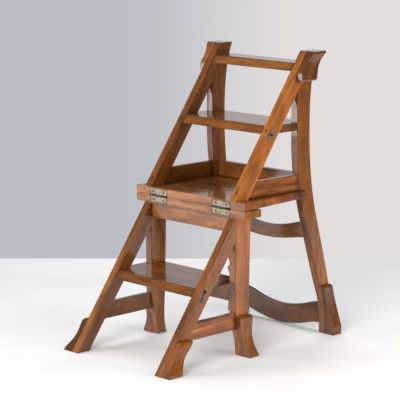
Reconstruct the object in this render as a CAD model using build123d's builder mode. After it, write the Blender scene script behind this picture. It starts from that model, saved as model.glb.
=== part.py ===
"""Metamorphic library chair, unfolded as a four-level step ladder.

Millimetres.  X is the width, +Y the direction a person climbs, +Z up, floor at z = 0.
The pieces are drawn with y = 0 on the hinge line and exported about the footprint's middle.
Two frames are hinged along the front edge of the platform.  The base frame stands
still.  The folding frame swings half a turn over the front and makes the chair.
"""
import os
from math import hypot

from build123d import *

os.makedirs("parts", exist_ok=True)

# ---- overall -----------------------------------------------------------------
HEIGHT = 900.0                      # top of the posts, and of the chair's back
HINGE_Z = HEIGHT / 2                # half way up, so both forms stand level
AXIS_GAP = 0.6                      # each board's top or bottom stands off the axis
EDGE_GAP = 0.5                      # each board's front edge stands off the axis
PLANE_GAP = 0.4                     # each frame's stringers stand off the meeting plane

# ---- boards -------------------------------------------------------------------
BOARD_T = 24.0
BOARD_W = 470.0                     # at the hinge line
LOWER_BOARD_D = 72.0
UPPER_BOARD_D = 314.0               # up to the back of the rear rail
EAR_D = 295.0                       # outside the posts the board ends here
EAR_W = 416.0                       # width over the ears at their back end
BOARD_ROUND = 3.5

BOARD_TOP = HINGE_Z + AXIS_GAP + BOARD_T
BOARD_UNDER = HINGE_Z - AXIS_GAP - BOARD_T

# ---- side frames ----------------------------------------------------------------
FRAME_W = 392.0                     # over the outer faces of legs and stringers
LEG_T = 26.0                        # thickness of every leg and stringer across X
OUT = FRAME_W / 2
IN = OUT - LEG_T
LEAN = 0.72                         # run over rise of the stringers
STRINGER_ROOT = 54.0                # depth along Y where a stringer meets its board
STRINGER_TIP = 47.0                 # depth along Y at the floor or at the top
REAR_FOOT_BACK = 443.0              # how far back the rear feet reach
FRONT_REACH = LEAN * BOARD_UNDER - PLANE_GAP       # how far forward the lower stringers reach
MIDDLE_Y = (REAR_FOOT_BACK - FRONT_REACH) / 2

RAIL_T = 18.0
RAIL_IN = OUT - 1.0 - RAIL_T        # side rails sit 1 mm inside the outer faces
SEAT_RAIL_H = 50.0
LOW_RAIL_Z = 86.0
LOW_RAIL_H = 50.0
REAR_RAIL_Y = 294.0

# ---- treads -----------------------------------------------------------------------
TREAD_T = 24.0
LOWER_TREAD_Z = 232.0               # top faces
MIDDLE_TREAD_Z = 685.0
TOP_TREAD_Z = 864.0
LOWER_TREAD_BACK = 50.0
MIDDLE_TREAD_BACK = 314.0
TOP_TREAD_BACK = 352.0

APRON_H = 46.0
TREAD_RAIL_H = 38.0
APRON_Y = 3.0

# ---- chair-back slats, which hang under the platform ---------------------------------
SLAT_T = 16.0
# top and bottom are the heights of the edges at the ends; each dips in the middle
UPPER_SLAT = dict(y=341.0, top=364.0, top_dip=25.0, bottom=313.0, bottom_dip=17.0)
LOWER_SLAT = dict(y=408.0, top=97.0, top_dip=28.0, bottom=30.0, bottom_dip=24.0)

# ---- pads that thicken the outer side of each foot --------------------------------------
PAD_ROUND = 9.0                     # rounding of the shoulder's outer corner
PAD_FLARE = 38.0                    # the most that any pad stands out
# thickness at shoulder, waist and sole (flare); toe is the height of the upright part
# above the sole and rake is how fast the flare opens there
FRONT_PAD = dict(height=126.0, shoulder=18.0, waist=17.0, waist_at=70.0, flare=38.0,
                 toe=8.0, rake=0.6)
STRINGER_PAD = dict(height=92.0, shoulder=21.0, waist=18.0, waist_at=50.0, flare=38.0,
                    toe=9.0, rake=0.7)
REAR_PAD = dict(height=160.0, shoulder=15.0, waist=18.5, waist_at=98.0, flare=36.0,
                toe=26.0, rake=0.3)
TOP_PAD = dict(height=90.0, shoulder=24.0, waist=20.5, waist_at=44.0, flare=34.0,
               toe=6.0, rake=0.7)

# ---- butt hinges ----------------------------------------------------------------------------
HINGE_X = 136.0
HINGE_L = 74.0
LEAF_T = 2.0
LEAF_H = BOARD_T - 3.0
KNUCKLE_R = 3.4
PIN_R = 1.5
PIN_CLEAR = 0.05
SCREW_X = 22.0                      # each side of the hinge's middle
SCREW_R, SCREW_HEAD_R, SCREW_L = 1.5, 3.6, 14.0

# ---- hook latches on the outer faces of the stringers ------------------------------------------
LATCH_ALONG = 238.0                 # from the board down the stringer
LATCH_IN = 14.0                     # from a stringer's front face to the pivot or stud
PLATE_T = 1.6
PLATE_W = 19.0
PIVOT_R = 2.5
HOOK_T = 2.0
SLOPE_LEN = hypot(LEAN, 1.0)
HOOK_REACH = 2 * LATCH_IN + 2 * PLANE_GAP / SLOPE_LEN      # pivot to stud when folded
STUD_ALONG = LATCH_ALONG - 2 * PLANE_GAP * LEAN / SLOPE_LEN
STUD_R = 2.0

# ---- wood plugs over the stringer screws --------------------------------------------------------
PLUG_R = 4.0
PLUG_DEEP = 6.0
LOWER_PLUG_Z = (157.0,)
UPPER_PLUG_Z = (500.0, 673.0)


def slope_lower(z):
    """Y of the lower stringers' front face at height z."""
    return PLANE_GAP - LEAN * (BOARD_UNDER - z)


def slope_upper(z):
    """Y of the upper stringers' front face at height z."""
    return PLANE_GAP + LEAN * (z - BOARD_TOP)


def stringer_back(z):
    """Y of a stringer's back face; its depth shrinks evenly to the tip."""
    if z > HINGE_Z:
        share = (z - BOARD_TOP) / (HEIGHT - BOARD_TOP)
        return slope_upper(z) + STRINGER_ROOT + share * (STRINGER_TIP - STRINGER_ROOT)
    share = (BOARD_UNDER - z) / BOARD_UNDER
    return slope_lower(z) + STRINGER_ROOT + share * (STRINGER_TIP - STRINGER_ROOT)


def save(name, label):
    """Export one piece, moved so that the origin is the middle of the footprint."""
    placed = name.part.moved(Location((0, -MIDDLE_Y, 0)))
    placed.label = label
    export_step(placed, f"parts/{label}.step")


def save_pair(right, stem):
    """Write the right-hand piece and its mirror image."""
    save(right, f"right_{stem}")
    with BuildPart() as left:
        mirror(right.part, about=Plane.YZ)
    save(left, f"left_{stem}")
    return left


def side_profile(draw):
    """A closed outline seen from the side, as a sketch on the YZ plane."""
    with BuildSketch(Plane.YZ) as sketch:
        with BuildLine():
            draw()
        make_face()
    return sketch


# ---- outlines of the legs, (y, z) ---------------------------------------------------------------
def front_leg_outline():
    Polyline((26, 0), (26, 10))
    Spline((26, 10), (2, 150), tangents=((0, 1), (0, 1)))
    Polyline((2, 150), (2, BOARD_UNDER), (67, BOARD_UNDER), (61, 165))
    Spline((61, 165), (57, 75), (66, 0), tangents=((0, -1), (0.35, -1)))
    Line((66, 0), (26, 0))


def rear_post_outline():
    joint_z = 779.0
    Line((stringer_back(HEIGHT), HEIGHT), (stringer_back(joint_z), joint_z))
    front = stringer_back(joint_z)
    Line((front, joint_z), (268, 640))
    Spline((268, 640), (283, 480), (333, 300), (378, 161), (405, 22),
           tangents=((0, -1), (0, -1)))
    Polyline((405, 22), (405, 0), (REAR_FOOT_BACK, 0), (REAR_FOOT_BACK, 12))
    Spline((REAR_FOOT_BACK, 12), (421, 161), (384, 300), (347, 436), (325, 640), (333, 810),
           (358, HEIGHT), tangents=((0, 1), (0.4, 1)))
    Line((358, HEIGHT), (stringer_back(HEIGHT), HEIGHT))


def lower_stringer_outline():
    Polyline((slope_lower(BOARD_UNDER), BOARD_UNDER), (slope_lower(0), 0),
             (stringer_back(0), 0), (stringer_back(BOARD_UNDER), BOARD_UNDER), close=True)


def upper_stringer_outline():
    Polyline((slope_upper(BOARD_TOP), BOARD_TOP), (slope_upper(HEIGHT), HEIGHT),
             (stringer_back(HEIGHT), HEIGHT), (stringer_back(BOARD_TOP), BOARD_TOP), close=True)


def top_pad_outline():
    """Covers the joined tops of the post and the stringer."""
    foot = HEIGHT - TOP_PAD["height"]
    front = 262.0
    meet = BOARD_TOP + (front - PLANE_GAP) / LEAN
    Polyline((front, foot), (front, meet), (slope_upper(HEIGHT), HEIGHT), (358, HEIGHT))
    Spline((358, HEIGHT), (328, foot), tangents=((-0.4, -1), (-0.1, -1)))
    Line((328, foot), (front, foot))


front_leg_side = side_profile(front_leg_outline)
rear_post_side = side_profile(rear_post_outline)
lower_stringer_side = side_profile(lower_stringer_outline)
upper_stringer_side = side_profile(upper_stringer_outline)
top_pad_side = side_profile(top_pad_outline)


# ---- plugs: short cylinders let into the sloping front faces ---------------------------------------
DOWN = (0, -LEAN / SLOPE_LEN, -1 / SLOPE_LEN)          # down along a stringer
BEHIND = (0, 1 / SLOPE_LEN, -LEAN / SLOPE_LEN)         # from the front face into the wood

with BuildPart() as lower_plugs:
    for x in (-(IN + OUT) / 2, (IN + OUT) / 2):
        for z in LOWER_PLUG_Z:
            with BuildSketch(Plane((x, slope_lower(z), z), z_dir=BEHIND)):
                Circle(PLUG_R)
            extrude(amount=PLUG_DEEP)
save(lower_plugs, "lower_plugs")

with BuildPart() as upper_plugs:
    for x in (-(IN + OUT) / 2, (IN + OUT) / 2):
        for z in UPPER_PLUG_Z:
            with BuildSketch(Plane((x, slope_upper(z), z), z_dir=BEHIND)):
                Circle(PLUG_R)
            extrude(amount=PLUG_DEEP)
save(upper_plugs, "upper_plugs")


# ---- latch places ------------------------------------------------------------------------------------
def along(start_z, distance, depth):
    """A point on a stringer's side: distance from the board and depth behind the front."""
    step = distance if start_z < HINGE_Z else -distance
    y = PLANE_GAP + step * DOWN[1] + depth * BEHIND[1]
    z = start_z + step * DOWN[2] + depth * BEHIND[2]
    return y, z


PIVOT = along(BOARD_UNDER, LATCH_ALONG, LATCH_IN)
STUD = along(BOARD_TOP, STUD_ALONG, LATCH_IN)
latch_plane = Plane((OUT, *PIVOT), x_dir=DOWN, z_dir=(1, 0, 0))
keeper_plane = Plane((OUT, *STUD), x_dir=DOWN, z_dir=(1, 0, 0))
HOOK_X = PLATE_T + 0.3                                 # stand-off of the hook from the wood
HEAD_X = HOOK_X + HOOK_T + 0.3                         # and of the heads that hold it
PLATE_FROM, PLATE_TO = -11.0, 36.0                     # along the stringer from the pivot
PLATE_SCREW = 18.0                                     # under the hook's arm

with BuildPart() as right_latch_pivot:
    with BuildSketch(latch_plane.offset(-9)):
        Circle(PIVOT_R)
    extrude(amount=9 + HEAD_X)
    with BuildSketch(latch_plane.offset(HEAD_X)):
        Circle(4.5)
    extrude(amount=1.6)
    with BuildSketch(latch_plane.offset(HEAD_X + 1.0)):
        Rectangle(9.5, 0.9)
    extrude(amount=1.0, mode=Mode.SUBTRACT)
left_latch_pivot = save_pair(right_latch_pivot, "latch_pivot")


def latch_screw(slotted):
    """The countersunk screw that holds a latch's plate."""
    with BuildPart() as piece:
        with BuildSketch(latch_plane.offset(PLATE_T)):
            with Locations((PLATE_SCREW, 0)):
                Circle(3.2)
        extrude(amount=-PLATE_T, taper=40)
        with BuildSketch(latch_plane.offset(PLATE_T)):
            with Locations((PLATE_SCREW, 0)):
                Circle(1.5)
        extrude(amount=-12)
        if slotted:
            with BuildSketch(latch_plane.offset(PLATE_T)):
                with Locations((PLATE_SCREW, 0)):
                    Rectangle(7, 0.8)
            extrude(amount=-0.6, mode=Mode.SUBTRACT)
    return piece


right_latch_screw = latch_screw(True)
left_latch_screw = save_pair(right_latch_screw, "latch_screw")

with BuildPart() as right_latch_plate:
    with BuildSketch(latch_plane):
        with Locations(((PLATE_FROM + PLATE_TO) / 2, 0)):
            SlotOverall(PLATE_TO - PLATE_FROM, PLATE_W)
    extrude(amount=PLATE_T)
    add(right_latch_pivot.part, mode=Mode.SUBTRACT)
    add(latch_screw(False).part, mode=Mode.SUBTRACT)
save_pair(right_latch_plate, "latch_plate")

with BuildPart() as right_latch_hook:
    with BuildSketch(latch_plane.offset(HOOK_X)):
        Circle(5.5)
        with Locations((HOOK_REACH / 2, 0)):
            Rectangle(HOOK_REACH, 7)
        with Locations((HOOK_REACH, 0)):
            Circle(5.2)
        Circle(PIVOT_R + PIN_CLEAR, mode=Mode.SUBTRACT)
        with Locations((HOOK_REACH, 0)):
            Circle(STUD_R + 0.4, mode=Mode.SUBTRACT)
        # the open side faces the way the hook swings, so it slides on to the stud
        with Locations((HOOK_REACH, -3)):
            Rectangle(2 * STUD_R + 0.8, 6, mode=Mode.SUBTRACT)
    extrude(amount=HOOK_T)
save_pair(right_latch_hook, "latch_hook")

with BuildPart() as right_keeper_stud:
    with BuildSketch(keeper_plane.offset(-9)):
        Circle(STUD_R)
    extrude(amount=9 + HEAD_X)
    with BuildSketch(keeper_plane.offset(HEAD_X)):
        Circle(4.0)
    extrude(amount=1.6)
left_keeper_stud = save_pair(right_keeper_stud, "keeper_stud")

with BuildPart() as right_keeper_plate:
    with BuildSketch(keeper_plane):
        SlotOverall(PLATE_TO - PLATE_FROM - 8, PLATE_W)
        Circle(STUD_R, mode=Mode.SUBTRACT)
    extrude(amount=PLATE_T)
save_pair(right_keeper_plate, "keeper_plate")

# ---- legs, stringers and posts ---------------------------------------------------------------------------
with BuildPart() as right_front_leg:
    with BuildSketch(Plane.YZ.offset(IN)):
        add(front_leg_side.sketch_local)
    extrude(amount=LEG_T)
left_front_leg = save_pair(right_front_leg, "front_leg")

with BuildPart() as right_lower_stringer:
    with BuildSketch(Plane.YZ.offset(IN)):
        add(lower_stringer_side.sketch_local)
    extrude(amount=LEG_T)
    # the top end stops against the front of the leg
    add(right_front_leg.part, mode=Mode.SUBTRACT)
    with BuildSketch(Plane.YZ.offset(IN)):
        with Locations((2 + 40, BOARD_UNDER - 100)):
            Rectangle(80, 200)
    extrude(amount=LEG_T, mode=Mode.SUBTRACT)
    add(lower_plugs.part, mode=Mode.SUBTRACT)
    add(right_latch_pivot.part, mode=Mode.SUBTRACT)
    add(right_latch_screw.part, mode=Mode.SUBTRACT)
left_lower_stringer = save_pair(right_lower_stringer, "lower_stringer")

with BuildPart() as right_upper_stringer:
    with BuildSketch(Plane.YZ.offset(IN)):
        add(upper_stringer_side.sketch_local)
    extrude(amount=LEG_T)
    add(upper_plugs.part, mode=Mode.SUBTRACT)
    add(right_keeper_stud.part, mode=Mode.SUBTRACT)
left_upper_stringer = save_pair(right_upper_stringer, "upper_stringer")

with BuildPart() as right_rear_post:
    with BuildSketch(Plane.YZ.offset(IN)):
        add(rear_post_side.sketch_local)
    extrude(amount=LEG_T)
left_rear_post = save_pair(right_rear_post, "rear_post")


# ---- pads --------------------------------------------------------------------------------------------------
def pad_section(height, shoulder, waist, waist_at, flare, toe, rake):
    """Outline of a pad seen from the front, sole at the bottom, (x, z)."""
    Polyline((OUT, 0), (OUT + flare, 0), (OUT + flare, toe))
    Spline((OUT + flare, toe), (OUT + waist, waist_at), (OUT + shoulder, height - PAD_ROUND),
           tangents=((-rake, 1), (0, 1)))
    RadiusArc((OUT + shoulder, height - PAD_ROUND), (OUT + shoulder - PAD_ROUND, height),
              -PAD_ROUND)
    Polyline((OUT + shoulder - PAD_ROUND, height), (OUT, height), (OUT, 0))


def pad(side, size, upside_down=False):
    with BuildPart() as piece:
        with BuildSketch(Plane.XZ):
            with BuildLine():
                pad_section(**size)
            make_face()
        extrude(amount=600, both=True)
        if upside_down:
            turned = mirror(piece.part, about=Plane.XY.offset(HEIGHT / 2), mode=Mode.PRIVATE)
            add(turned, mode=Mode.REPLACE)
        with BuildSketch(Plane.YZ.offset(OUT)):
            add(side.sketch_local)
        extrude(amount=PAD_FLARE, mode=Mode.INTERSECT)
    return piece


save_pair(pad(front_leg_side, FRONT_PAD), "front_leg_pad")
save_pair(pad(lower_stringer_side, STRINGER_PAD), "stringer_pad")
save_pair(pad(rear_post_side, REAR_PAD), "rear_post_pad")
save_pair(pad(top_pad_side, TOP_PAD, upside_down=True), "top_pad")


# ---- hinges ----------------------------------------------------------------------------------------------------
def barrel(x_from, x_to, radius):
    with BuildPart() as piece:
        with BuildSketch(Plane.YZ.offset(x_from)):
            with Locations((0, HINGE_Z)):
                Circle(radius)
        extrude(amount=x_to - x_from)
    return piece


def countersunk_screws(z, slotted):
    """Two screws through one leaf into the front edge of a board."""
    with BuildPart() as piece:
        for x in (HINGE_X - SCREW_X, HINGE_X + SCREW_X):
            with BuildSketch(Plane((x, EDGE_GAP, z), z_dir=(0, 1, 0))):
                Circle(SCREW_HEAD_R)
            extrude(amount=LEAF_T, taper=45)
            with BuildSketch(Plane((x, EDGE_GAP, z), z_dir=(0, 1, 0))):
                Circle(SCREW_R)
            extrude(amount=SCREW_L)
            if slotted:
                with BuildSketch(Plane((x, EDGE_GAP, z), z_dir=(0, 1, 0))):
                    Rectangle(9, 0.8, rotation=35)
                extrude(amount=0.6, mode=Mode.SUBTRACT)
    return piece


def hinge_leaf(below, screw_holes):
    """A leaf let into the board's edge, with its knuckles: two below, one above."""
    sign = -1 if below else 1
    with BuildPart() as leaf:
        with Locations((HINGE_X, EDGE_GAP + LEAF_T / 2, HINGE_Z + sign * (LEAF_H / 2 + 0.6))):
            Box(HINGE_L, LEAF_T, LEAF_H)
        with Locations((HINGE_X, EDGE_GAP + LEAF_T / 2, HINGE_Z + sign * 1.6)):
            Box(HINGE_L, LEAF_T, 2.6)
        third = HINGE_L / 3
        left_end = HINGE_X - HINGE_L / 2
        for i in range(3):
            start = left_end + i * third
            if (i == 1) == below:
                # room for the other leaf's knuckle
                add(barrel(start - 0.3, start + third + 0.3, KNUCKLE_R + 0.4).part,
                    mode=Mode.SUBTRACT)
        for i in range(3):
            start = left_end + i * third
            if (i == 1) != below:
                add(barrel(start + 0.2, start + third - 0.2, KNUCKLE_R).part)
        add(barrel(left_end - 1, left_end + HINGE_L + 1, PIN_R + PIN_CLEAR).part,
            mode=Mode.SUBTRACT)
        add(screw_holes.part, mode=Mode.SUBTRACT)
    return leaf


SCREW_OFF = 0.6 + LEAF_H / 2 + 1.5
lower_holes = countersunk_screws(HINGE_Z - SCREW_OFF, False)
upper_holes = countersunk_screws(HINGE_Z + SCREW_OFF, False)
save_pair(countersunk_screws(HINGE_Z - SCREW_OFF, True), "lower_hinge_screws")
save_pair(countersunk_screws(HINGE_Z + SCREW_OFF, True), "upper_hinge_screws")
save_pair(hinge_leaf(True, lower_holes), "lower_hinge_leaf")
save_pair(hinge_leaf(False, upper_holes), "upper_hinge_leaf")

hinge_pin = barrel(HINGE_X - HINGE_L / 2, HINGE_X + HINGE_L / 2, PIN_R)
save_pair(hinge_pin, "hinge_pin")

with BuildPart() as hinge_room:
    # what both hinges need cut away from the boards' front edges
    for x in (-HINGE_X, HINGE_X):
        with Locations((x, EDGE_GAP + LEAF_T / 2, HINGE_Z)):
            Box(HINGE_L, LEAF_T, 2 * (LEAF_H + 0.6))
        add(barrel(x - HINGE_L / 2, x + HINGE_L / 2, KNUCKLE_R + 0.6).part)
    add(lower_holes.part)
    add(upper_holes.part)
    mirror(lower_holes.part, about=Plane.YZ)
    mirror(upper_holes.part, about=Plane.YZ)

# ---- boards --------------------------------------------------------------------------------------------------------
with BuildPart() as lower_board:
    with BuildSketch(Plane.XY.offset(BOARD_UNDER)):
        with Locations((0, (EDGE_GAP + LOWER_BOARD_D) / 2)):
            Rectangle(BOARD_W, LOWER_BOARD_D - EDGE_GAP)
    extrude(amount=BOARD_T)
    back = lower_board.faces().sort_by(Axis.Y)[-1]
    ends = lower_board.faces().filter_by(Axis.X)
    fillet((back.edges() + ends.edges()).filter_by(lambda e: e.center().Y > 2), BOARD_ROUND)
    add(hinge_room.part, mode=Mode.SUBTRACT)
save(lower_board, "lower_board")

with BuildPart() as upper_board:
    with BuildSketch(Plane.XY.offset(HINGE_Z + AXIS_GAP)):
        with BuildLine():
            Polyline((-BOARD_W / 2, EDGE_GAP), (BOARD_W / 2, EDGE_GAP), (EAR_W / 2, EAR_D),
                     (IN, EAR_D), (IN, UPPER_BOARD_D), (-IN, UPPER_BOARD_D), (-IN, EAR_D),
                     (-EAR_W / 2, EAR_D), close=True)
        make_face()
    extrude(amount=BOARD_T)
    sides = upper_board.edges().filter_by(
        lambda e: e.length > 250 and abs(e.center().X) > OUT)
    fillet(sides, BOARD_ROUND)
    add(right_rear_post.part, mode=Mode.SUBTRACT)
    add(left_rear_post.part, mode=Mode.SUBTRACT)
    add(hinge_room.part, mode=Mode.SUBTRACT)
save(upper_board, "upper_board")


# ---- treads ---------------------------------------------------------------------------------------------------------
def tread(top, front, back, half_width):
    """A tread whose front edge lies in the sloping plane of the stringers."""
    low = top - TREAD_T
    with BuildPart() as piece:
        with BuildSketch(Plane.YZ.offset(-half_width)):
            with BuildLine():
                Polyline((front(low), low), (front(top), top), (back, top), (back, low),
                         close=True)
            make_face()
        extrude(amount=2 * half_width)
    return piece


def notched(piece, neighbours):
    with BuildPart() as cut:
        add(piece.part)
        for other in neighbours:
            add(other.part, mode=Mode.SUBTRACT)
    return cut


lower_tread = notched(
    tread(LOWER_TREAD_Z, slope_lower, LOWER_TREAD_BACK, OUT),
    (right_lower_stringer, left_lower_stringer, right_front_leg, left_front_leg, lower_plugs,
     right_latch_pivot, left_latch_pivot, right_latch_screw, left_latch_screw))
middle_tread = notched(
    tread(MIDDLE_TREAD_Z, slope_upper, MIDDLE_TREAD_BACK, OUT),
    (right_upper_stringer, left_upper_stringer, right_rear_post, left_rear_post, upper_plugs,
     right_keeper_stud, left_keeper_stud))
top_tread = tread(TOP_TREAD_Z, slope_upper, TOP_TREAD_BACK, IN)
save(lower_tread, "lower_tread")
save(middle_tread, "middle_tread")
save(top_tread, "top_tread")


# ---- rails -------------------------------------------------------------------------------------------------------------
def side_rail(front, back, bottom, height, neighbours):
    """A rail between a stringer and a leg, shaped to both by cutting them away."""
    with BuildPart() as piece:
        with BuildSketch(Plane.YZ.offset(RAIL_IN)):
            with BuildLine():
                Polyline((front(bottom), bottom), (front(bottom + height), bottom + height),
                         (back, bottom + height), (back, bottom), close=True)
            make_face()
        extrude(amount=RAIL_T)
        for other in neighbours:
            add(other.part, mode=Mode.SUBTRACT)
    return piece


def cross_rail(y, bottom, height):
    with BuildPart() as piece:
        with Locations((0, y + RAIL_T / 2, bottom + height / 2)):
            Box(2 * IN, RAIL_T, height)
    return piece


save_pair(side_rail(lambda z: slope_lower(z) + 20, 15, LOW_RAIL_Z, LOW_RAIL_H,
                    (right_lower_stringer, right_front_leg)), "lower_rail")
save_pair(side_rail(lambda z: slope_upper(z) + 20, 290, BOARD_TOP, SEAT_RAIL_H,
                    (right_upper_stringer, right_rear_post)), "seat_rail")
save(cross_rail(REAR_RAIL_Y, BOARD_TOP, SEAT_RAIL_H), "rear_seat_rail")
save(cross_rail(APRON_Y, BOARD_UNDER - APRON_H, APRON_H), "front_apron")
save(cross_rail(APRON_Y, LOWER_TREAD_Z - TREAD_T - TREAD_RAIL_H, TREAD_RAIL_H), "tread_rail")


# ---- slats -----------------------------------------------------------------------------------------------------------------
def slat(y, top, top_dip, bottom, bottom_dip):
    """A serpentine slat: both edges dip smoothly from the ends to the middle."""
    def wave(z, dip, way):
        Spline((-way * IN, z), (-way * 105, z - dip / 2), (-way * 42, z - dip),
               (way * 42, z - dip), (way * 105, z - dip / 2), (way * IN, z),
               tangents=((way, 0), (way, 0)))

    with BuildPart() as piece:
        with BuildSketch(Plane.XZ.offset(-y)):
            with BuildLine():
                wave(bottom, bottom_dip, 1)
                Line((IN, bottom), (IN, top))
                wave(top, top_dip, -1)
                Line((-IN, top), (-IN, bottom))
            make_face()
        extrude(amount=-SLAT_T)
    return piece


save(slat(**UPPER_SLAT), "upper_slat")
save(slat(**LOWER_SLAT), "lower_slat")
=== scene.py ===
"""Looks of the folding library step ladder: lacquered mahogany with aged brass fittings."""
from math import cos, radians, sin

import bpy
from mathutils import Matrix, Vector


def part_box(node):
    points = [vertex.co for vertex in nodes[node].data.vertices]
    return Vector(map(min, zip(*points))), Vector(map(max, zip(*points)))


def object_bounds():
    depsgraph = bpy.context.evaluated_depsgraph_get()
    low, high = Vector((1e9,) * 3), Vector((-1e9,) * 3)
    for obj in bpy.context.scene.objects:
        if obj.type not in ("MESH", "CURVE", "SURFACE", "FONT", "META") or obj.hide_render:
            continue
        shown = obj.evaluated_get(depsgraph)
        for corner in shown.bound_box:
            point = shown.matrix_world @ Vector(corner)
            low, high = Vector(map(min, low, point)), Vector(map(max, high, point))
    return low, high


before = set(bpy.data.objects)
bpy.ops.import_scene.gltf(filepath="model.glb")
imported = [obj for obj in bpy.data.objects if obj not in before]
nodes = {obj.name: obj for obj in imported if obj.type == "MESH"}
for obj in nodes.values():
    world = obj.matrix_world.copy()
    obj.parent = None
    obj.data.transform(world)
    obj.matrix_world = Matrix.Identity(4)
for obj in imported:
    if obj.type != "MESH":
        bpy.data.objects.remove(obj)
cad_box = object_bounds()

AXIS_Z = 0.45                         # height of the hinge line, half way up
LEAN = 0.72                           # run over rise of the stringers
SLOPE = Vector((0, LEAN, 1)).normalized()
ALONG_X, ALONG_Y, UP = Vector((1, 0, 0)), Vector((0, 1, 0)), Vector((0, 0, 1))

# ---- camera ----------------------------------------------------------------------------
VIEW_TURN = 45.55                     # degrees from looking along +Y
VIEW_DROP = 10.53                     # degrees below the horizon
CAMERA_AT = (3.847, -3.796, 1.451)
SENSOR, LENS = 36, 161.8              # millimetres

camera = bpy.data.objects.new("camera", bpy.data.cameras.new("camera"))
camera.data.sensor_width = SENSOR
camera.data.lens = LENS
camera.location = CAMERA_AT
camera.rotation_euler = (radians(90 - VIEW_DROP), 0, radians(VIEW_TURN))
bpy.context.scene.collection.objects.link(camera)
bpy.context.scene.camera = camera

# level directions as the camera sees them; the floor and the lights are set out along these
RIGHT = Vector((cos(radians(VIEW_TURN)), sin(radians(VIEW_TURN)), 0))
AWAY = Vector((-sin(radians(VIEW_TURN)), cos(radians(VIEW_TURN)), 0))


# ---- node helpers ----------------------------------------------------------------------
class Tree:
    """A few shorthands round one material's or world's node tree."""

    def __init__(self, owner):
        owner.use_nodes = True
        self.tree = owner.node_tree
        self.tree.nodes.clear()

    def node(self, kind, inputs=(), **props):
        """A new node; inputs maps its sockets to plain values or to other sockets."""
        made = self.tree.nodes.new(kind)
        for key, value in props.items():
            setattr(made, key, value)
        for key, value in dict(inputs).items():
            if isinstance(value, bpy.types.NodeSocket):
                self.tree.links.new(value, made.inputs[key])
            else:
                made.inputs[key].default_value = value
        return made

    def noise(self, place, scale, detail=3.0, rough=0.5, twist=0.0):
        return self.node("ShaderNodeTexNoise", {
            "Vector": place, "Scale": scale, "Detail": detail, "Roughness": rough,
            "Distortion": twist}).outputs["Fac"]

    def ramp(self, value, stops, smooth=False):
        """A colour ramp; stops are (position, colour or grey level)."""
        made = self.node("ShaderNodeValToRGB", {"Fac": value})
        band = made.color_ramp
        band.interpolation = "EASE" if smooth else "LINEAR"
        while len(band.elements) < len(stops):
            band.elements.new(0.5)
        for element, (at, colour) in zip(band.elements, stops):
            if not isinstance(colour, tuple):
                colour = (colour, colour, colour)
            element.position, element.color = at, (*colour, 1)
        return made.outputs["Color"]

    def mix(self, how, share, a, b):
        """Two colours mixed; the socket numbers are the mix node's colour sockets."""
        return self.node("ShaderNodeMix", {0: share, 6: a, 7: b}, data_type="RGBA",
                         blend_type=how).outputs[2]

    def shade(self, colour, share, value, stops, smooth=False):
        """A colour made darker or lighter by a ramp over value."""
        return self.mix("MULTIPLY", share, colour, self.ramp(value, stops, smooth))

    def math(self, what, a, b=0.0):
        return self.node("ShaderNodeMath", {0: a, 1: b}, operation=what).outputs[0]

    def vector(self, what, a, b=(0, 0, 0), out="Vector"):
        return self.node("ShaderNodeVectorMath", {0: a, 1: b}, operation=what).outputs[out]

    def here(self):
        return self.node("ShaderNodeTexCoord").outputs["Object"]

    def past_box(self, low, high):
        """Per axis, how far each point lies past a box's faces: negative inside it."""
        middle, half = (low + high) / 2, (high - low) / 2
        off = self.vector("SUBTRACT", self.here(), tuple(middle))
        return self.vector("SUBTRACT", self.vector("ABSOLUTE", off), tuple(half))

    def height(self):
        return self.node("ShaderNodeSeparateXYZ", {0: self.here()}).outputs["Z"]

    def turned(self, turn, shift):
        """Object coordinates, turned and shifted."""
        return self.node("ShaderNodeMapping", {
            "Vector": self.here(), "Rotation": turn, "Location": shift}).outputs[0]

    def scaled(self, place, *by):
        return self.node("ShaderNodeMapping", {"Vector": place, "Scale": by}).outputs[0]

    def spread(self, value, low, high, to_low, to_high):
        """A value carried from one range to another."""
        return self.node("ShaderNodeMapRange", {
            "Value": value, "From Min": low, "From Max": high, "To Min": to_low,
            "To Max": to_high}).outputs[0]

    def bump(self, height, strength, distance):
        return self.node("ShaderNodeBump", {
            "Height": height, "Strength": strength, "Distance": distance}).outputs[0]

    def surface(self, colour, rough, others=()):
        """The principled shader as output; others maps its other sockets."""
        shader = self.node("ShaderNodeBsdfPrincipled", {
            "Base Color": colour, "Roughness": rough, **dict(others)})
        self.node("ShaderNodeOutputMaterial", {"Surface": shader.outputs[0]})


# ---- wood ------------------------------------------------------------------------------
DARK, MIDDLE, LIGHT = (0.075, 0.020, 0.004), (0.185, 0.056, 0.009), (0.33, 0.112, 0.018)
WAX_AND_SHADE = (0.022, 0.008, 0.003)         # dark wax on the feet and eased edges, and wax with painted shade in inner corners
GRIME_AND_SHADE = (0.012, 0.009, 0.007)         # dirt and painted shade round the hinge leaves' borders and knuckles
CORNER_WAX_AND_SHADE = 0.6                         # how dark a corner is made with wax and painted shade
SOLE_WAX = 0.55                       # and how much of a sole
SOLE_FROM, SOLE_FULL = 0.448, 0.482   # metres from the hinge line: begins, is full
RIM_WIDE = 0.005                      # border of a hinge leaf that is darkened with dirt and painted shade


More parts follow.
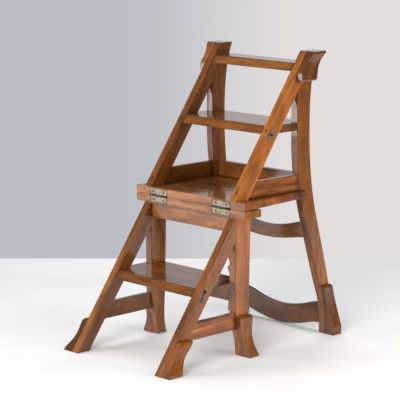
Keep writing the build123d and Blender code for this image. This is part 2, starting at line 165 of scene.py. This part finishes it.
def mahogany(name, run, number, tone_and_shade, glazed, corners):
    """Lacquered mahogany with its grain along run; number gives each board its own cut.

    The tone lightens or darkens it, partly as the wood's own tone and partly as painted
    light and shade.  glazed is how much dark wax covers all of it, which is nothing on the
    faces and a lot on the eased edges.  corners holds (low, high, reach) for each
    neighbour whose inner corner is darkened with wax and painted shade.
    """
    made = bpy.data.materials.new(name)
    t = Tree(made)
    side = run.cross(ALONG_X if abs(run.x) < 0.5 else UP).normalized()
    turn = Matrix((run, side, run.cross(side))).to_euler()
    shift = (0.37 * number, 0.113 * number, 0.071 * (number % 7))
    plain = t.turned(turn, shift)

    def scaled(along, across):
        """Coordinates for a figure this fine along the grain and across it."""
        return t.scaled(plain, along, across, across)

    broad = t.noise(scaled(1.6, 13), 1.0, 2.0, 0.55, 0.6)
    colour = t.ramp(broad, [(0.28, DARK), (0.5, MIDDLE), (0.74, LIGHT)], True)
    rings = t.noise(scaled(2.2, 75), 1.0, 3.0, 0.6, 0.9)
    colour = t.shade(colour, 0.55, rings, [(0.34, 0.55), (0.6, 1.15)])
    ribbon = t.noise(scaled(9, 22), 1.0, 1.0, 0.5, 0.3)
    colour = t.shade(colour, 0.35, ribbon, [(0.3, 0.72), (0.7, 1.2)])
    pores = t.noise(scaled(70, 1500), 1.0, 1.0, 0.5)
    colour = t.shade(colour, 0.4, pores, [(0.3, 0.4), (0.42, 1.0)])
    mottle = t.noise(scaled(16, 70), 1.0, 4.0, 0.65, 0.4)
    colour = t.shade(colour, 0.5, mottle, [(0.36, 0.5), (0.6, 1.3)], True)
    flecks = t.noise(scaled(45, 260), 1.0, 2.0, 0.6)
    colour = t.shade(colour, 0.5, flecks, [(0.3, 0.35), (0.42, 1.0)])
    handled = t.noise(plain, 7.0, 3.0, 0.6)
    colour = t.shade(colour, 0.4, handled, [(0.35, 0.7), (0.6, 1.1)])
    # the piece's tone: its own, together with painted light and shade
    colour = t.mix("MULTIPLY", 1.0, colour, (tone_and_shade, tone_and_shade, tone_and_shade, 1))

    # wax on the soles, and on the tops that are soles when the chair is made
    from_axis = t.math("ABSOLUTE", t.math("SUBTRACT", t.height(), AXIS_Z))
    near_sole = t.math("ADD", from_axis, t.math("MULTIPLY", handled, 0.05))
    soles = t.ramp(near_sole, [(SOLE_FROM, 0.0), (SOLE_FULL, SOLE_WAX)])
    waxed = t.ramp(t.noise(plain, 22.0, 3.0, 0.6), [(0.35, 0.25), (0.7, 1.0)])
    wax_and_shade_cover = t.math("MULTIPLY", t.math("MAXIMUM", soles, glazed), waxed)
    # painted shade with wax: darker towards each inner corner where a neighbour meets the
    # piece
    for low, high, reach in corners:
        past = t.vector("MAXIMUM", t.past_box(low, high), (0, 0, 0))
        gap = t.math("DIVIDE", t.vector("LENGTH", past, out="Value"), reach)
        waxed_and_shaded = t.ramp(t.math("ADD", gap, t.math("MULTIPLY", mottle, 0.5)),
                         [(0.22, CORNER_WAX_AND_SHADE), (1.0, 0.0)], True)
        wax_and_shade_cover = t.math("MAXIMUM", wax_and_shade_cover, waxed_and_shaded)
    colour = t.mix("MIX", wax_and_shade_cover, colour, (*WAX_AND_SHADE, 1))

    closed = t.ramp(pores, [(0.3, 0.0), (0.42, 1.0)])
    relief = t.math("ADD", t.math("MULTIPLY", closed, 0.6), t.math("MULTIPLY", rings, 0.5))
    t.surface(colour, t.spread(handled, 0.3, 0.7, 0.42, 0.62), {
        "Normal": t.bump(relief, 0.35, 0.0004), "Specular IOR Level": 0.12,
        "Coat Weight": 1.0, "Coat Roughness": 0.12})
    return made


def plug_wood():
    """Nearly black wood plugs with a little grain."""
    made = bpy.data.materials.new("dark_plug")
    t = Tree(made)
    figure = t.noise(t.scaled(t.here(), 60, 900, 300), 1.0, 2.0)
    colour = t.ramp(figure, [(0.35, (0.006, 0.003, 0.002)), (0.65, (0.022, 0.010, 0.005))])
    t.surface(colour, t.ramp(figure, [(0.3, 0.42), (0.7, 0.6)]), {
        "Normal": t.bump(figure, 0.3, 0.0002), "Specular IOR Level": 0.2})
    return made


def aged_brass(name, clean, tarnish, worn, rim=None):
    """Brass gone dull: clean in patches and tarnished in others, with fine scratches.

    A larger worn leaves more of it clean.  rim is the box of a hinge leaf's flat part; past
    it, round the border and over the knuckle, the leaf is darkened with dirt and painted
    shade.
    """
    made = bpy.data.materials.new(name)
    t = Tree(made)
    patches = t.noise(t.here(), 70.0, 3.0, 0.6, 0.4)
    spots = t.noise(t.here(), 400.0, 2.0, 0.6)
    scratches = t.noise(t.scaled(t.here(), 2600, 160, 900), 1.0, 1.0)
    dull = t.math("ADD", t.math("MULTIPLY", patches, 0.7), t.math("MULTIPLY", spots, 0.3))
    colour = t.ramp(dull, [(worn, clean), (worn + 0.3, tarnish)], True)
    colour = t.shade(colour, 0.3, scratches, [(0.35, 0.7), (0.6, 1.15)])
    # dirt and painted shade: darker round the leaf's border and over its knuckle
    if rim:
        past = t.node("ShaderNodeSeparateXYZ", {0: t.past_box(*rim)}).outputs
        inside = t.math("MAXIMUM", past["X"], past["Z"])
        border = t.math("ADD", t.math("MULTIPLY", inside, 1 / RIM_WIDE), patches)
        colour = t.mix("MIX", t.ramp(border, [(0.0, 0.0), (0.35, 0.9)], True), colour,
                       (*GRIME_AND_SHADE, 1))
    relief = t.math("ADD", spots, t.math("MULTIPLY", scratches, 0.3))
    t.surface(colour, t.spread(dull, 0.35, 0.65, 0.3, 0.62), {
        "Normal": t.bump(relief, 0.25, 0.00015), "Metallic": 0.9})
    return made


# ---- which way the grain runs in each wooden piece -------------------------------------
ACROSS = ("board", "tread", "apron", "tread_rail", "rear_seat_rail", "slat")
BACKWARD = ("lower_rail", "seat_rail")


def grain(name):
    """The direction of the grain in a wooden piece."""
    if name.endswith(("stringer", "stringer_pad", "top_pad")):
        return SLOPE
    if name.endswith(("leg", "leg_pad", "post", "post_pad")):
        return UP
    if name.endswith(ACROSS):
        return ALONG_X
    if name.endswith(BACKWARD):
        return ALONG_Y
    raise ValueError(name)


# how light or dark each piece of wood is next to its neighbours: partly its own tone and
# partly painted light and shade, most right-hand pieces on the lit near side lighter than
# their left-hand twins, and the lower slat darker as it stands in shade
PLAIN_TONE = 0.95
TONES_AND_SHADE = {
    "right_upper_stringer": 1.38, "left_upper_stringer": 0.9, "right_lower_stringer": 1.05,
    "left_lower_stringer": 0.8, "right_front_leg": 1.55, "left_front_leg": 0.9,
    "right_rear_post": 0.9, "left_rear_post": 0.7, "upper_board": 1.0, "lower_board": 1.1,
    "lower_tread": 0.9, "middle_tread": 1.0, "top_tread": 0.72, "front_apron": 1.4,
    "rear_seat_rail": 0.8, "left_seat_rail": 0.6, "right_seat_rail": 1.3, "upper_slat": 0.7,
    "lower_slat": 0.45, "right_lower_rail": 1.1, "left_lower_rail": 0.85,
    "right_top_pad": 0.72, "left_top_pad": 0.75, "right_rear_post_pad": 0.64,
}


def made_of(slot):
    """The names of the CAD nodes that the record gives this material."""
    return [n for n, o in sorted(nodes.items()) if o.data.materials[0].name == slot]


wooden = made_of("mahogany")
leaves = [n for n in made_of("hinge_metal") if n.endswith("leaf")]


def finish_with(name, *materials):
    """Give a node its materials; the second goes on the faces of its eased edges."""
    node = nodes[name]
    while len(node.material_slots) < len(materials):
        node.data.materials.append(None)
    for slot, material in zip(node.material_slots, materials):
        slot.link = "OBJECT"
        slot.material = material


# how far dark wax and painted shade spread from an inner corner, and from a hinge leaf
CORNER_REACH = 0.015
PLATFORM_SHADE_REACH = 0.045                # a railed platform gets more, painted shade round its rails and posts
LEAF_REACH = 0.009
TOUCH = 0.002                         # pieces nearer than this meet
BOARDS = {"upper_board", "lower_board"}


def meet(one, other):
    """True if two (low, high) boxes touch."""
    return all(one[0][i] - TOUCH <= other[1][i] and other[0][i] - TOUCH <= one[1][i]
               for i in range(3))


def shaded_corners_of(name):
    """(low, high, reach) of what meets this piece, where the inner corners are darkened
    with wax and painted shade.
    """
    if grain(name) in (UP, SLOPE):
        return []                     # their outer faces stay clean
    low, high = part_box(name)
    reach = PLATFORM_SHADE_REACH if name == "upper_board" else CORNER_REACH
    found = []
    for other in wooden + leaves:
        near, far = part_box(other)
        if other == name or {other, name} == BOARDS or not meet((low, high), (near, far)):
            continue
        if other.endswith("leaf") and name in BOARDS:
            found.append((near, far, LEAF_REACH))
        elif other.endswith("stringer") and name.endswith(ACROSS) and name not in BOARDS:
            # it leans past the piece, so the wax and painted shade follow only the side
            # that is met
            found.append((Vector((near.x, low.y, low.z)), Vector((far.x, high.y, high.z)),
                          reach))
        elif not other.endswith(("leaf", "stringer", "pad")):
            found.append((near, far, reach))
    return found


def leaf_plate(name):
    """The box of a leaf's flat part, which stops at the hinge's axis."""
    low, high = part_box(name)
    if "upper" in name:
        low.z = AXIS_Z
    else:
        high.z = AXIS_Z
    return low, high


# ---- the finish of every node ----------------------------------------------------------
EDGE_WAX = 0.85                       # how much dark wax lies on the eased edges

for number, name in enumerate(wooden):
    tone_and_shade = TONES_AND_SHADE.get(name, PLAIN_TONE)
    corners = shaded_corners_of(name)
    finish_with(name, mahogany(f"mahogany_{name}", grain(name), number, tone_and_shade, 0.0, corners),
                mahogany(f"edge_{name}", grain(name), number, tone_and_shade, EDGE_WAX, corners))

plugs = plug_wood()
for name in made_of("dark_plug"):
    finish_with(name, plugs)

# clean colour, tarnished colour, and how much of it is clean
LEAF = (0.28, 0.225, 0.165), (0.14, 0.108, 0.078), 0.42
PLATE = (0.33, 0.29, 0.22), (0.19, 0.16, 0.115), 0.44
HOOK = (0.15, 0.125, 0.09), (0.06, 0.048, 0.034), 0.42
SCREW = (0.055, 0.044, 0.032), (0.025, 0.019, 0.014), 0.42
screw_brass = aged_brass("dark_brass", *SCREW)
plate_brass = aged_brass("plate_brass", *PLATE)
hook_brass = aged_brass("hook_brass", *HOOK)
for name in made_of("hinge_metal") + made_of("latch_metal"):
    if name.endswith("leaf"):
        finish_with(name, aged_brass(f"brass_{name}", *LEAF, leaf_plate(name)))
    elif name.endswith("plate"):
        finish_with(name, plate_brass)
    elif name.endswith("hook"):
        finish_with(name, hook_brass)
    else:
        finish_with(name, screw_brass)

# ---- eased edges -----------------------------------------------------------------------
EDGE_WIDE, EDGE_STEPS = 0.0021, 2
SHARP = 38                            # degrees; flatter edges are left alone
FACE_WEIGHT = 80                      # how strongly the large faces set the shading
SPLIT = 1e-5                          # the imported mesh's split edges are closer than this


def ease(name):
    """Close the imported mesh's split edges, then round every sharp one a little."""
    node = nodes[name]
    weld = node.modifiers.new("weld", "WELD")
    weld.merge_threshold = SPLIT
    bevel = node.modifiers.new("ease", "BEVEL")
    bevel.width = EDGE_WIDE
    bevel.segments = EDGE_STEPS
    bevel.limit_method = "ANGLE"
    bevel.angle_limit = radians(SHARP)
    bevel.use_clamp_overlap = True
    bevel.harden_normals = False
    bevel.material = 1
    shade = node.modifiers.new("shade", "WEIGHTED_NORMAL")
    shade.keep_sharp = False
    shade.weight = FACE_WEIGHT


for name in wooden:
    ease(name)

# ---- floor -----------------------------------------------------------------------------
FLOOR_SINK = 0.0002                   # keeps the sheet just under the soles
FLOOR_BEHIND, FLOOR_AHEAD, FLOOR_LEFT, FLOOR_RIGHT = 1.2, 2.4, 3.5, 2.2


def floor_sheet():
    """A pale floor that ends a little behind the object, square to the view, painted
    lighter towards its right and back.
    """
    corners = [AWAY * far + RIGHT * wide for far, wide in (
        (FLOOR_BEHIND, -FLOOR_LEFT), (-FLOOR_AHEAD, -FLOOR_LEFT),
        (-FLOOR_AHEAD, FLOOR_RIGHT), (FLOOR_BEHIND, FLOOR_RIGHT))]
    mesh = bpy.data.meshes.new("floor")
    mesh.from_pydata([c - UP * FLOOR_SINK for c in corners], [], [(0, 1, 2, 3)])
    floor = bpy.data.objects.new("floor", mesh)
    bpy.context.scene.collection.objects.link(floor)
    made = bpy.data.materials.new("pale_floor")
    t = Tree(made)
    soft = t.noise(t.here(), 3.0, 2.0)
    # painted light: lighter towards the right and the back, with a soft mottle
    across = t.vector("DOT_PRODUCT", t.here(), tuple((RIGHT + AWAY) * 0.25), out="Value")
    colour = t.ramp(t.math("ADD", across, t.math("MULTIPLY", soft, 0.8)),
                    [(0.1, (0.77, 0.775, 0.785)), (0.6, (0.90, 0.91, 0.925))])
    t.surface(colour, 0.6)
    mesh.materials.append(made)


floor_sheet()

# ---- room ------------------------------------------------------------------------------
COOL_WALL, WARM_WALL = (0.497, 0.515, 0.558), (0.76, 0.73, 0.72)
WINDOW, FAR_WALL, DARK_WALL = (0.85, 0.86, 0.88), (0.6, 0.58, 0.57), (0.2, 0.19, 0.18)

world = bpy.data.worlds.new("room")
bpy.context.scene.world = world
w = Tree(world)
toward = w.node("ShaderNodeTexCoord").outputs["Generated"]
sideways = w.vector("DOT_PRODUCT", toward, tuple(RIGHT), out="Value")
rise = w.node("ShaderNodeSeparateXYZ", {0: toward}).outputs["Z"]

# what the piece reflects: walls from the left round to the right, darker higher up
walls = w.ramp(w.math("ADD", w.math("MULTIPLY", sideways, 0.5), 0.5),
               [(0.1, WINDOW), (0.46, COOL_WALL), (0.53, WARM_WALL), (0.58, FAR_WALL),
                (0.75, DARK_WALL)], True)
room = w.node("ShaderNodeBackground", {
    "Color": w.shade(walls, 1.0, rise, [(0.18, 1.0), (0.5, 0.16)], True)})

# what the camera sees: a plain backdrop, cool on its left and warm on its right
backdrop = w.node("ShaderNodeBackground", {
    "Color": w.ramp(w.math("ADD", w.math("MULTIPLY", sideways, 4.0), 0.5),
                    [(0.3, COOL_WALL), (0.75, WARM_WALL)], True)})
seen = w.node("ShaderNodeMixShader", {
    0: w.node("ShaderNodeLightPath").outputs["Is Camera Ray"],
    1: room.outputs[0], 2: backdrop.outputs[0]})
w.node("ShaderNodeOutputWorld", {"Surface": seen.outputs[0]})


# ---- light -----------------------------------------------------------------------------
def soft_box(name, right, up, away, wide, tall, power, colour=(1, 1, 1), mirrored=True):
    """A soft area light, placed from the object's middle and aimed at it.

    One that is not mirrored gives light but makes no reflection.
    """
    middle = (cad_box[0] + cad_box[1]) / 2
    lamp = bpy.data.lights.new(name, "AREA")
    lamp.shape, lamp.size, lamp.size_y = "RECTANGLE", wide, tall
    lamp.energy, lamp.color = power, colour
    holder = bpy.data.objects.new(name, lamp)
    holder.location = middle + RIGHT * right + UP * up + AWAY * away
    holder.rotation_mode = "QUATERNION"
    holder.rotation_quaternion = (holder.location - middle).to_track_quat("Z", "Y")
    holder.visible_glossy = mirrored
    bpy.context.scene.collection.objects.link(holder)


soft_box("key", -1.3, 1.9, -3.0, 2.2, 2.2, 122, (1.0, 0.98, 0.95), False)
soft_box("left", -3.0, 0.5, -0.7, 2.2, 1.6, 60, (0.98, 0.99, 1.0))
soft_box("right", 2.4, 1.6, -1.6, 1.8, 1.8, 22, (1.0, 0.98, 0.95))
soft_box("right_low", 2.2, 0.05, -1.3, 1.6, 0.8, 50, (1.0, 0.95, 0.89), False)
soft_box("top", -0.1, 3.0, 1.5, 2.0, 2.0, 50)
soft_box("back", 0.4, 1.2, 3.2, 2.4, 1.6, 12, (1.0, 0.99, 0.97), False)

bpy.context.scene.view_settings.view_transform = "Standard"
